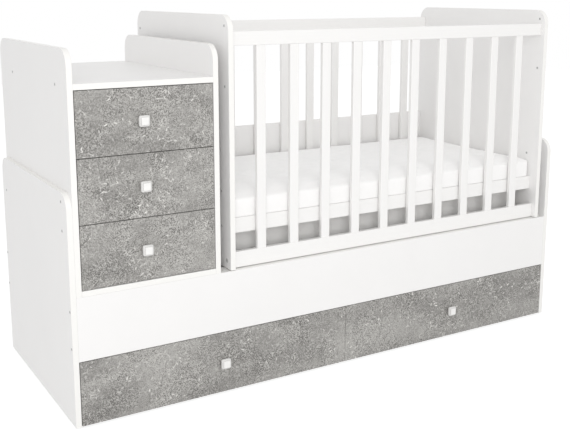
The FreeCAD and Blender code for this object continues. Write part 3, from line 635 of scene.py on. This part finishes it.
# %% [markdown]
# ## Knobs
#
# Each drawer has one small square knob of white plastic: a plate with rounded corners on a round stem,
# and a raised square boss on the plate's face. Its profile runs from the stem's foot over the plate to
# the middle of the boss. Every edge in it is a quarter turn of a small radius, because a mould leaves none
# of them sharp, and the boss is dished a little, because thick plastic sinks as it cools.

# %% Knob profile
# Metres
BOSS_HEIGHT = 0.005
BOSS_WIDTH = 0.021
BOSS_RIM = 0.0016
BOSS_FILLET = 0.0008
BOSS_DISH = 0.0004
PLATE_THICKNESS = 0.007
PLATE_RIM = 0.0015
STEM_RADIUS = 0.007
STEM_FLARE = 0.0015
# Powers of the outline, from round to nearly square
ROUND_POWER = 2.0
PLATE_POWER = 6.7
BOSS_POWER = 9.0
# Rows on an edge and on the boss's face, how near its middle the last one lies, and the dish's shape
EDGE_ROWS = 7
FACE_ROWS = 13
LAST_ROW_SHARE = 0.04
DISH_POWER = 1.5


def quarter_turn(width, depth, radius, power, outside):
    """Rows of a round edge that starts at a half width and depth and ends a radius further in and forward.

    An outside edge leaves the wall along the depth, an inside one leaves the face along the width.
    """
    angle = np.linspace(0, np.pi / 2, EDGE_ROWS)
    early, late = np.sin(angle), 1 - np.cos(angle)
    inward, forward = (late, early) if outside else (early, late)
    return np.stack([width - radius * inward, depth - radius * forward, np.full(angle.size, power)], axis=1)


def on_the_back(rows):
    """The same edge seen from behind: its depths mirrored about its start, its rows in reverse order."""
    return np.stack([rows[:, 0], 2 * rows[0, 1] - rows[:, 1], rows[:, 2]], axis=1)[::-1]


def knob_profile(half, depth):
    """Rows of half width, depth from the face and outline power, from the stem's foot to the boss's middle.

    Gives back the rows and the number of the first one on the polished boss.
    """
    plate_back = BOSS_HEIGHT + PLATE_THICKNESS
    boss_half = BOSS_WIDTH / 2
    foot = np.array([[STEM_RADIUS, depth, ROUND_POWER]])
    flare = on_the_back(quarter_turn(STEM_RADIUS + STEM_FLARE, plate_back, STEM_FLARE, ROUND_POWER, False))
    back_rim = on_the_back(quarter_turn(half, plate_back - PLATE_RIM, PLATE_RIM, PLATE_POWER, True))
    rim = quarter_turn(half, BOSS_HEIGHT + PLATE_RIM, PLATE_RIM, PLATE_POWER, True)
    fillet = quarter_turn(boss_half + BOSS_FILLET, BOSS_HEIGHT, BOSS_FILLET, BOSS_POWER, False)
    boss_rim = quarter_turn(boss_half, BOSS_RIM, BOSS_RIM, BOSS_POWER, True)
    reach = np.linspace(1.0, LAST_ROW_SHARE, FACE_ROWS + 1)[1:]
    face = np.stack([
        (boss_half - BOSS_RIM) * reach,
        BOSS_DISH * (1 - reach ** 2) ** DISH_POWER,
        ROUND_POWER + (BOSS_POWER - ROUND_POWER) * reach,
    ], axis=1)
    matt = np.concatenate([foot, flare, back_rim, rim, fillet])
    return np.concatenate([matt, boss_rim, face]), len(matt)


low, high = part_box("chest_drawer_top_knob")
profile, first_polished = knob_profile((high[0] - low[0]) / 2, high[1] - low[1])
print("knob profile:", len(profile), "rows, the boss from row", first_polished)

# %% [markdown]
# Seen from the front, the knob is round at its stem and square at its plate. The outline is a
# superellipse, the curve between a circle (power 2) and a square (high power), so that one can grow into
# the other without a break. The mould is polished where it forms the boss and spark-eroded, which is
# finely pitted, everywhere else, so the boss is glossier than the plate. The plate and the boss's walls
# also get a greyer white than the boss's face, which is painted shade round the boss.

# %% Knobs
KNOB_AROUND = 128


def superellipse(angle, power):
    """Distance from the middle to the curve |x|^p + |y|^p = 1 at each angle."""
    return (np.abs(np.cos(angle)) ** power + np.abs(np.sin(angle)) ** power) ** (-1 / power)


def knob_rings(low, high):
    """The knob's rings between the corners of its box, facing the front, and the first polished ring."""
    profile, first_polished = knob_profile((high[0] - low[0]) / 2, high[1] - low[1])
    angle = np.linspace(0, 2 * np.pi, KNOB_AROUND, endpoint=False)
    reach = profile[:, :1] * superellipse(angle[None, :], profile[:, 2:])
    x = (low[0] + high[0]) / 2 + reach * np.cos(angle)
    z = (low[2] + high[2]) / 2 + reach * np.sin(angle)
    y = np.broadcast_to(low[1] + profile[:, 1:2], x.shape)
    return np.stack([x, y, z], axis=-1), first_polished


DRAWERS = [body for body in frame["bodies"] if "drawer" in body]
for body in DRAWERS:
    points, faces, polished = closed_rings(*knob_rings(*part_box(f"{body}_knob")))
    # The plate and the boss's walls take the greyer white, which is painted shade round the boss.
    knob = new_piece(f"{body}_moulded_knob", points, faces, [eroded_abs_painted_shade, polished_abs])
    knob.data.polygons.foreach_set("material_index", polished)
    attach(knob, body)
    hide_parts(f"{body}_knob")
print(len(DRAWERS), "knobs of", KNOB_AROUND, "points round")

# %% [markdown]
# ## Screw caps
#
# Screws and bolts go through the ends and sides into the boards and rails between them, and each has a
# flat cap of grey plastic pressed over it. The places of the caps come from the solids: each cap there is
# an island of triangles, found by handing the lowest point number on from triangle to triangle until
# nothing changes. The board that a cap touches says which way it faces.

# %% Places of the caps
# The body that each group of caps rides on, and the boards that they sit on
CAPPED_PANELS = {
    "base_screw_caps": ("base", "base_left_end", "base_right_end"),
    "chest_screw_caps": ("base", "chest_left_side", "chest_right_side"),
    "crib_bolt_caps": ("crib", "crib_left_end", "crib_right_end"),
}
# Points that agree to this many decimals of a metre are the same point.
SAME_POINT_DECIMALS = 5


def island_boxes(name):
    """Lowest and highest corners of each separate solid in a node, shaped (solids, 2, 3)."""
    mesh = nodes[name].data
    co = np.empty(len(mesh.vertices) * 3, dtype=np.float32)
    mesh.vertices.foreach_get("co", co)
    mesh.calc_loop_triangles()
    triangles = np.empty(len(mesh.loop_triangles) * 3, dtype=np.int32)
    mesh.loop_triangles.foreach_get("vertices", triangles)
    co = co.reshape(-1, 3).round(SAME_POINT_DECIMALS)
    spots, same = np.unique(co, axis=0, return_inverse=True)
    triangles = same.reshape(-1)[triangles].reshape(-1, 3)
    label = np.arange(len(spots))
    while True:
        lowest = label.copy()
        np.minimum.at(lowest, triangles.ravel(), np.repeat(label[triangles].min(axis=1), 3))
        if np.array_equal(lowest, label):
            break
        label = lowest
    islands = [spots[label == number] for number in np.unique(label)]
    return np.array([(island.min(axis=0), island.max(axis=0)) for island in islands])


def facing_of(boxes, panels):
    """1 for a cap whose low side meets a panel's high side, so that it faces +X, and -1 otherwise."""
    edges = np.array([[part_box(panel)[0][0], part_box(panel)[1][0]] for panel in panels])
    to_right = np.abs(boxes[:, 0, 0, None] - edges[None, :, 1]).min(axis=1)
    to_left = np.abs(boxes[:, 1, 0, None] - edges[None, :, 0]).min(axis=1)
    return np.where(to_right < to_left, 1.0, -1.0)


cap_boxes = {cap_node: island_boxes(cap_node) for cap_node in CAPPED_PANELS}
print("caps:", {cap_node: len(boxes) for cap_node, boxes in cap_boxes.items()})

# %% [markdown]
# On the face of a board, a cap is a small round dot with a duller hexagon sunk into it, and the hexagon's
# darker grey is painted shade. Its rings go from the rim over a soft shoulder and down into the hexagon.
# All caps of a group are equally high, so they are copies of one, made as wide as each is, turned and
# moved as a single array.

# %% Screw caps
CAP_AROUND = 36
# Share of the radius, share of the height and how hexagonal the outline is, from rim to socket floor
CAP_SHARES = np.array([
    (1.00, 0.00, 0.0),
    (1.00, 0.40, 0.0),
    (0.97, 0.70, 0.0),
    (0.90, 0.92, 0.0),
    (0.80, 1.00, 0.0),
    (0.62, 1.00, 0.0),
    (0.50, 0.98, 1.0),
    (0.47, 0.80, 1.0),
    (0.46, 0.22, 1.0),
    (0.30, 0.16, 1.0),
    (0.05, 0.12, 0.0),
])
FIRST_SOCKET_RING = 6


def cap_rings(height):
    """Rings of a cap of radius one round +X, rim at zero: a hexagon's reach is its flat over a cosine."""
    angle = np.linspace(0, 2 * np.pi, CAP_AROUND, endpoint=False)
    hexagon = 1 / np.cos(np.mod(angle, np.pi / 3) - np.pi / 6)
    share, level, hexness = (CAP_SHARES[:, [column]] for column in range(3))
    reach = share * (1 - hexness + hexness * hexagon)
    x = np.broadcast_to(height * level, reach.shape)
    return np.stack([x, reach * np.cos(angle), reach * np.sin(angle)], axis=-1)


for cap_node, (body, *panels) in CAPPED_PANELS.items():
    boxes = cap_boxes[cap_node]
    facing = facing_of(boxes, panels)
    foot = np.where(facing > 0, boxes[:, 0, 0], boxes[:, 1, 0])
    middle = boxes.mean(axis=1)
    radius = (boxes[:, 1, 1] - boxes[:, 0, 1]) / 2
    cap, one_cap, dark = closed_rings(cap_rings(boxes[0, 1, 0] - boxes[0, 0, 0]), FIRST_SOCKET_RING)
    # A cap that faces -X is turned half round Z, which mirrors both x and y.
    points = np.stack([
        foot[:, None] + facing[:, None] * cap[None, :, 0],
        middle[:, None, 1] + (facing * radius)[:, None] * cap[None, :, 1],
        middle[:, None, 2] + radius[:, None] * cap[None, :, 2],
    ], axis=-1)
    faces = [
        [corner + number * len(cap) for corner in face]
        for number in range(len(boxes))
        for face in one_cap
    ]
    heads = new_piece(f"{cap_node}_heads", points.reshape(-1, 3), faces, [screw_cap, socket_painted_shade])
    # The socket's faces take the darker grey, which is painted shade in the recess.
    heads.data.polygons.foreach_set("material_index", np.tile(dark, len(boxes)))
    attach(heads, body)
    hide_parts(cap_node)
    print(heads.name, len(heads.data.polygons), "faces")

# %% [markdown]
# ## Mattress
#
# A crib mattress is a block of foam in a tight cotton cover. It lies flat on its base, its top rises a
# little towards the middle, and its sides belly out between the seams. The block is the outside of a
# lattice of small cells, with every point near an edge pulled onto a rounded corner. A cloth simulation
# then blows the cover up from inside while the underside and the seams are held, the swelling is limited
# to what foam allows, and a few long shallow creases are laid over the top, as a cover gets when it is
# pulled on.

# %% Mattress block
# Metres: a cell of the lattice, the radius of the edges and of those at the foot, and the room to swell
CELL = 0.0095
CORNER_RADIUS = 0.013
FOOT_RADIUS = 0.0025
SIDE_ROOM = 0.002
CROWN_ROOM = 0.009
LEAST_CELLS = 4
# Divisors are kept above this, so that a length of zero does no harm.
TINY = 1e-9


def block_shell(size):
    """Points in a unit cube and quads of the outside of a lattice whose cells are about CELL wide."""
    counts = np.maximum(np.round(np.array(size) / CELL).astype(int), LEAST_CELLS)
    lines = [np.linspace(-0.5, 0.5, n + 1) for n in counts]
    number = np.arange(np.prod(counts + 1)).reshape(counts + 1)
    quads = []
    for axis in range(3):
        for end in (0, -1):
            layer = np.take(number, end, axis=axis)
            sheet = np.stack([layer[:-1, :-1], layer[1:, :-1], layer[1:, 1:], layer[:-1, 1:]], axis=-1)
            # Corners go anticlockwise seen from the plus side, so the low sheet is reversed, and across y
            # the high one, because x and z come in the other order there.
            if (end == 0) != (axis == 1):
                sheet = sheet[..., ::-1]
            quads.append(sheet.reshape(-1, 4))
    quads = np.concatenate(quads)
    used, packed = np.unique(quads, return_inverse=True)
    lattice = np.stack(np.meshgrid(*lines, indexing="ij"), axis=-1).reshape(-1, 3)
    return lattice[used], packed.reshape(-1, 4)


def rounded(points, half, radius, foot):
    """Pull points near the edges of a box onto round corners: the part outside an inner box gets one length.

    Along the lower edge the same directions are laid on a smaller foot radius, further out and further down.
    """
    inner = np.clip(points, -(half - radius), half - radius)
    rest = points - inner
    length = np.linalg.norm(rest, axis=1, keepdims=True)
    turn = rest / np.maximum(length, TINY)
    pulled = inner + turn * np.minimum(length, radius)
    plan = np.linalg.norm(turn[:, :2], axis=1, keepdims=True)
    further = np.where(plan > 0, (radius - foot) / np.maximum(plan, TINY), 0.0)
    lower = inner + turn * foot + np.pad(turn[:, :2] * further, ((0, 0), (0, 1)))
    lower[:, 2] -= radius - foot
    return np.where(turn[:, 2:] < 0, lower, pulled)


low, high = (np.array(corner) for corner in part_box("mattress"))
middle = (low + high) / 2
block_size = high - low - np.array([2 * SIDE_ROOM, 2 * SIDE_ROOM, CROWN_ROOM])
shares, quads = block_shell(block_size)
# The cover is pulled tight underneath, so the lower edge has a smaller radius.
block = rounded(shares * block_size, block_size / 2, CORNER_RADIUS, FOOT_RADIUS)
block += np.array([middle[0], middle[1], low[2] + block_size[2] / 2])
mattress = new_piece("padded_mattress", block, quads.tolist(), [ticking])
print("mattress block", (block_size * 1000).round(0), "mm,", len(quads), "quads")

# %% [markdown]
# The simulation needs to know what is held. The underside rests on the slats, and the seam along the top
# edge is sewn, so both are pinned through a vertex group. Pressure without gravity swells what is left.

# %% Mattress swelling
SWELL_FRAMES = 20
SWELL_PRESSURE = 4.0
CLOTH_QUALITY = 5
CLOTH_MASS = 0.3
CLOTH_STIFFNESS = 15
# Share of the block's height at which the underside ends
UNDER_SHARE = 0.05
# How much of the room there is the swelling may take
ROOM_SHARE = 0.9


def swell(piece, held):
    """Blow a closed cover up by a cloth simulation and give back where its points end."""
    pins = piece.vertex_groups.new(name="held")
    pins.add(np.flatnonzero(held).tolist(), 1.0, "REPLACE")
    cloth = piece.modifiers.new("swell", "CLOTH")
    cloth.settings.quality = CLOTH_QUALITY
    cloth.settings.mass = CLOTH_MASS
    cloth.settings.tension_stiffness = CLOTH_STIFFNESS
    cloth.settings.compression_stiffness = CLOTH_STIFFNESS
    cloth.settings.use_pressure = True
    cloth.settings.uniform_pressure_force = SWELL_PRESSURE
    cloth.settings.vertex_group_mass = "held"
    cloth.settings.effector_weights.gravity = 0.0
    cloth.collision_settings.use_collision = False
    for step in range(1, SWELL_FRAMES + 1):
        scene.frame_set(step)
    shown = piece.evaluated_get(bpy.context.evaluated_depsgraph_get())
    ended = np.empty(len(shown.data.vertices) * 3)
    shown.data.vertices.foreach_get("co", ended)
    piece.modifiers.remove(cloth)
    piece.vertex_groups.remove(pins)
    scene.frame_set(1)
    return ended.reshape(-1, 3)


height = (block[:, 2] - low[2]) / block_size[2]
under = height < UNDER_SHARE
top_seam = np.abs(block[:, 2] - (low[2] + block_size[2] - CORNER_RADIUS)) < CELL / 2
moved = swell(mattress, under | top_seam) - block
# A soft limit: small moves stay as they are and large ones come close to the room that there is.
most = np.array([SIDE_ROOM, SIDE_ROOM, CROWN_ROOM]) * ROOM_SHARE
moved = most * np.tanh(moved / most)
moved[under] = 0.0
print("swelling up to", (np.abs(moved).max(axis=0) * 1000).round(1), "mm")

# %% [markdown]
# The creases are a handful of long waves that run along the mattress and wander a little, added together
# and faded out towards the edges. They move real points, by one or two millimetres, so that they catch
# the light from every side. Subdivision then smooths the cover.

# %% Mattress creases
CREASE_HEIGHT = 0.0016
CREASE_COUNT = 9
# Least and most of a crease's pitch, wander and length in metres, and of its phase and fade in radians
CREASE_LEAST = (0.04, 0.01, 0.35, 0.0, 0.0)
CREASE_MOST = (0.09, 0.03, 0.90, 6.3, 6.3)
# A crease comes and goes once in this many of its lengths.
FADE_LENGTHS = 1.7
# Creases lie above this share of the block's height, and fade out over this share of its sides.
CREASED_SHARE = 0.9
EDGE_SHARE = 0.06
CREASE_SEED = 7
draws = np.random.default_rng(CREASE_SEED)


def creases(x, y):
    """Sum of long waves: each runs mostly along x, wanders in y, and comes and goes along its length."""
    total = np.zeros_like(x)
    for _ in range(CREASE_COUNT):
        pitch, wander, length, phase, fade = draws.uniform(CREASE_LEAST, CREASE_MOST)
        line = y + wander * np.sin(2 * np.pi * x / length + phase)
        strength = 0.5 + 0.5 * np.sin(2 * np.pi * x / (FADE_LENGTHS * length) + fade)
        total += strength * np.sin(2 * np.pi * line / pitch + fade)
    return total / np.sqrt(CREASE_COUNT)


inset = 0.5 - np.abs(shares[:, :2]).max(axis=1)
fading = np.clip(inset / EDGE_SHARE, 0, 1) * (height > CREASED_SHARE)
swollen = block + moved
swollen[:, 2] += CREASE_HEIGHT * fading * creases(block[:, 0], block[:, 1])
mattress.data.vertices.foreach_set("co", swollen.astype(np.float32).ravel())
mattress.data.update()
smooth = mattress.modifiers.new("smooth", "SUBSURF")
smooth.levels = 1
smooth.render_levels = 1
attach(mattress, "crib")
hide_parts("mattress")
print("mattress top", round(float(swollen[:, 2].max()), 4), "of", round(float(high[2]), 4), "m")

# %% [markdown]
# ## Studio
#
# The object stands on a plain white floor in a white room, which lights it evenly from all sides. To the
# camera, floor and room are white: the floor adds its own white to what it reflects, so that only the soft
# shadow under the object stays on it.

# %% Room and floor
# Strength of the room's light and of the floor's own, and metres from the floor's middle to its edge
AMBIENT = 0.80
FLOOR_GLOW = 0.78
FLOOR_REACH = 9.0


def seen_directly(tree):
    """One where a ray comes from the camera, a reflection or glass, and zero where it lights a surface."""
    rays = add(tree, "ShaderNodeLightPath").outputs
    seen = {0: rays["Is Camera Ray"], 1: rays["Is Glossy Ray"]}
    seen = add(tree, "ShaderNodeMath", seen, operation="MAXIMUM").outputs[0]
    seen = {0: seen, 1: rays["Is Transmission Ray"]}
    return add(tree, "ShaderNodeMath", seen, operation="MAXIMUM").outputs[0]


room = bpy.data.worlds.new("white_room")
room.use_nodes = True
room.node_tree.nodes.clear()
strength = {"Value": seen_directly(room.node_tree), "To Min": AMBIENT, "To Max": 1.0}
strength = add(room.node_tree, "ShaderNodeMapRange", strength).outputs[0]
sky = {"Color": linear("#FFFFFF"), "Strength": strength}
sky = add(room.node_tree, "ShaderNodeBackground", sky).outputs[0]
add(room.node_tree, "ShaderNodeOutputWorld", {"Surface": sky})
scene.world = room

floor_white = bpy.data.materials.new("floor_white")
floor_white.use_nodes = True
tree = floor_white.node_tree
tree.nodes.clear()
# The plain floor lights the object. What the camera sees is a darker one with a glow, which keeps shadows.
plain = add(tree, "ShaderNodeBsdfDiffuse", {"Color": linear("#E8E8E8")}).outputs[0]
shadow = add(tree, "ShaderNodeBsdfDiffuse", {"Color": linear("#A0A0A0")}).outputs[0]
glow = add(tree, "ShaderNodeEmission", {"Strength": FLOOR_GLOW}).outputs[0]
shown = add(tree, "ShaderNodeAddShader", {0: shadow, 1: glow}).outputs[0]
surface = add(tree, "ShaderNodeMixShader", {0: seen_directly(tree), 1: plain, 2: shown}).outputs[0]
add(tree, "ShaderNodeOutputMaterial", {"Surface": surface})
corners = FLOOR_REACH * np.array([(-1, -1, 0), (1, -1, 0), (1, 1, 0), (-1, 1, 0)], dtype=float)
floor = new_piece("floor", corners, [[0, 1, 2, 3]], [floor_white])
print("room light", AMBIENT, "and a floor of", 2 * FLOOR_REACH, "m")

# %% [markdown]
# One large soft lamp stands behind the camera on the object's left, twice as high as the crib. It lights
# the fronts most, and the left sides and the tops less. A disk this large gives no hard shadows.

# %% Key lamp
# Metres and watts
KEY_PLACE = (-2.35, -5.27, 2.20)
KEY_AIM = (-0.1, 0.0, 0.55)
KEY_SIZE = 4.0
KEY_POWER = 122.0

lamp = bpy.data.lights.new("key", "AREA")
lamp.shape = "DISK"
lamp.size = KEY_SIZE
lamp.energy = KEY_POWER
key = bpy.data.objects.new("key", lamp)
key.location = KEY_PLACE
look = np.array(KEY_AIM) - np.array(KEY_PLACE)
turn = np.arctan2(-look[0], look[1])
tilt = np.arctan2(np.hypot(look[0], look[1]), -look[2])
key.rotation_euler = (tilt, 0.0, turn)
scene.collection.objects.link(key)
print("key lamp", KEY_POWER, "W at", KEY_PLACE)
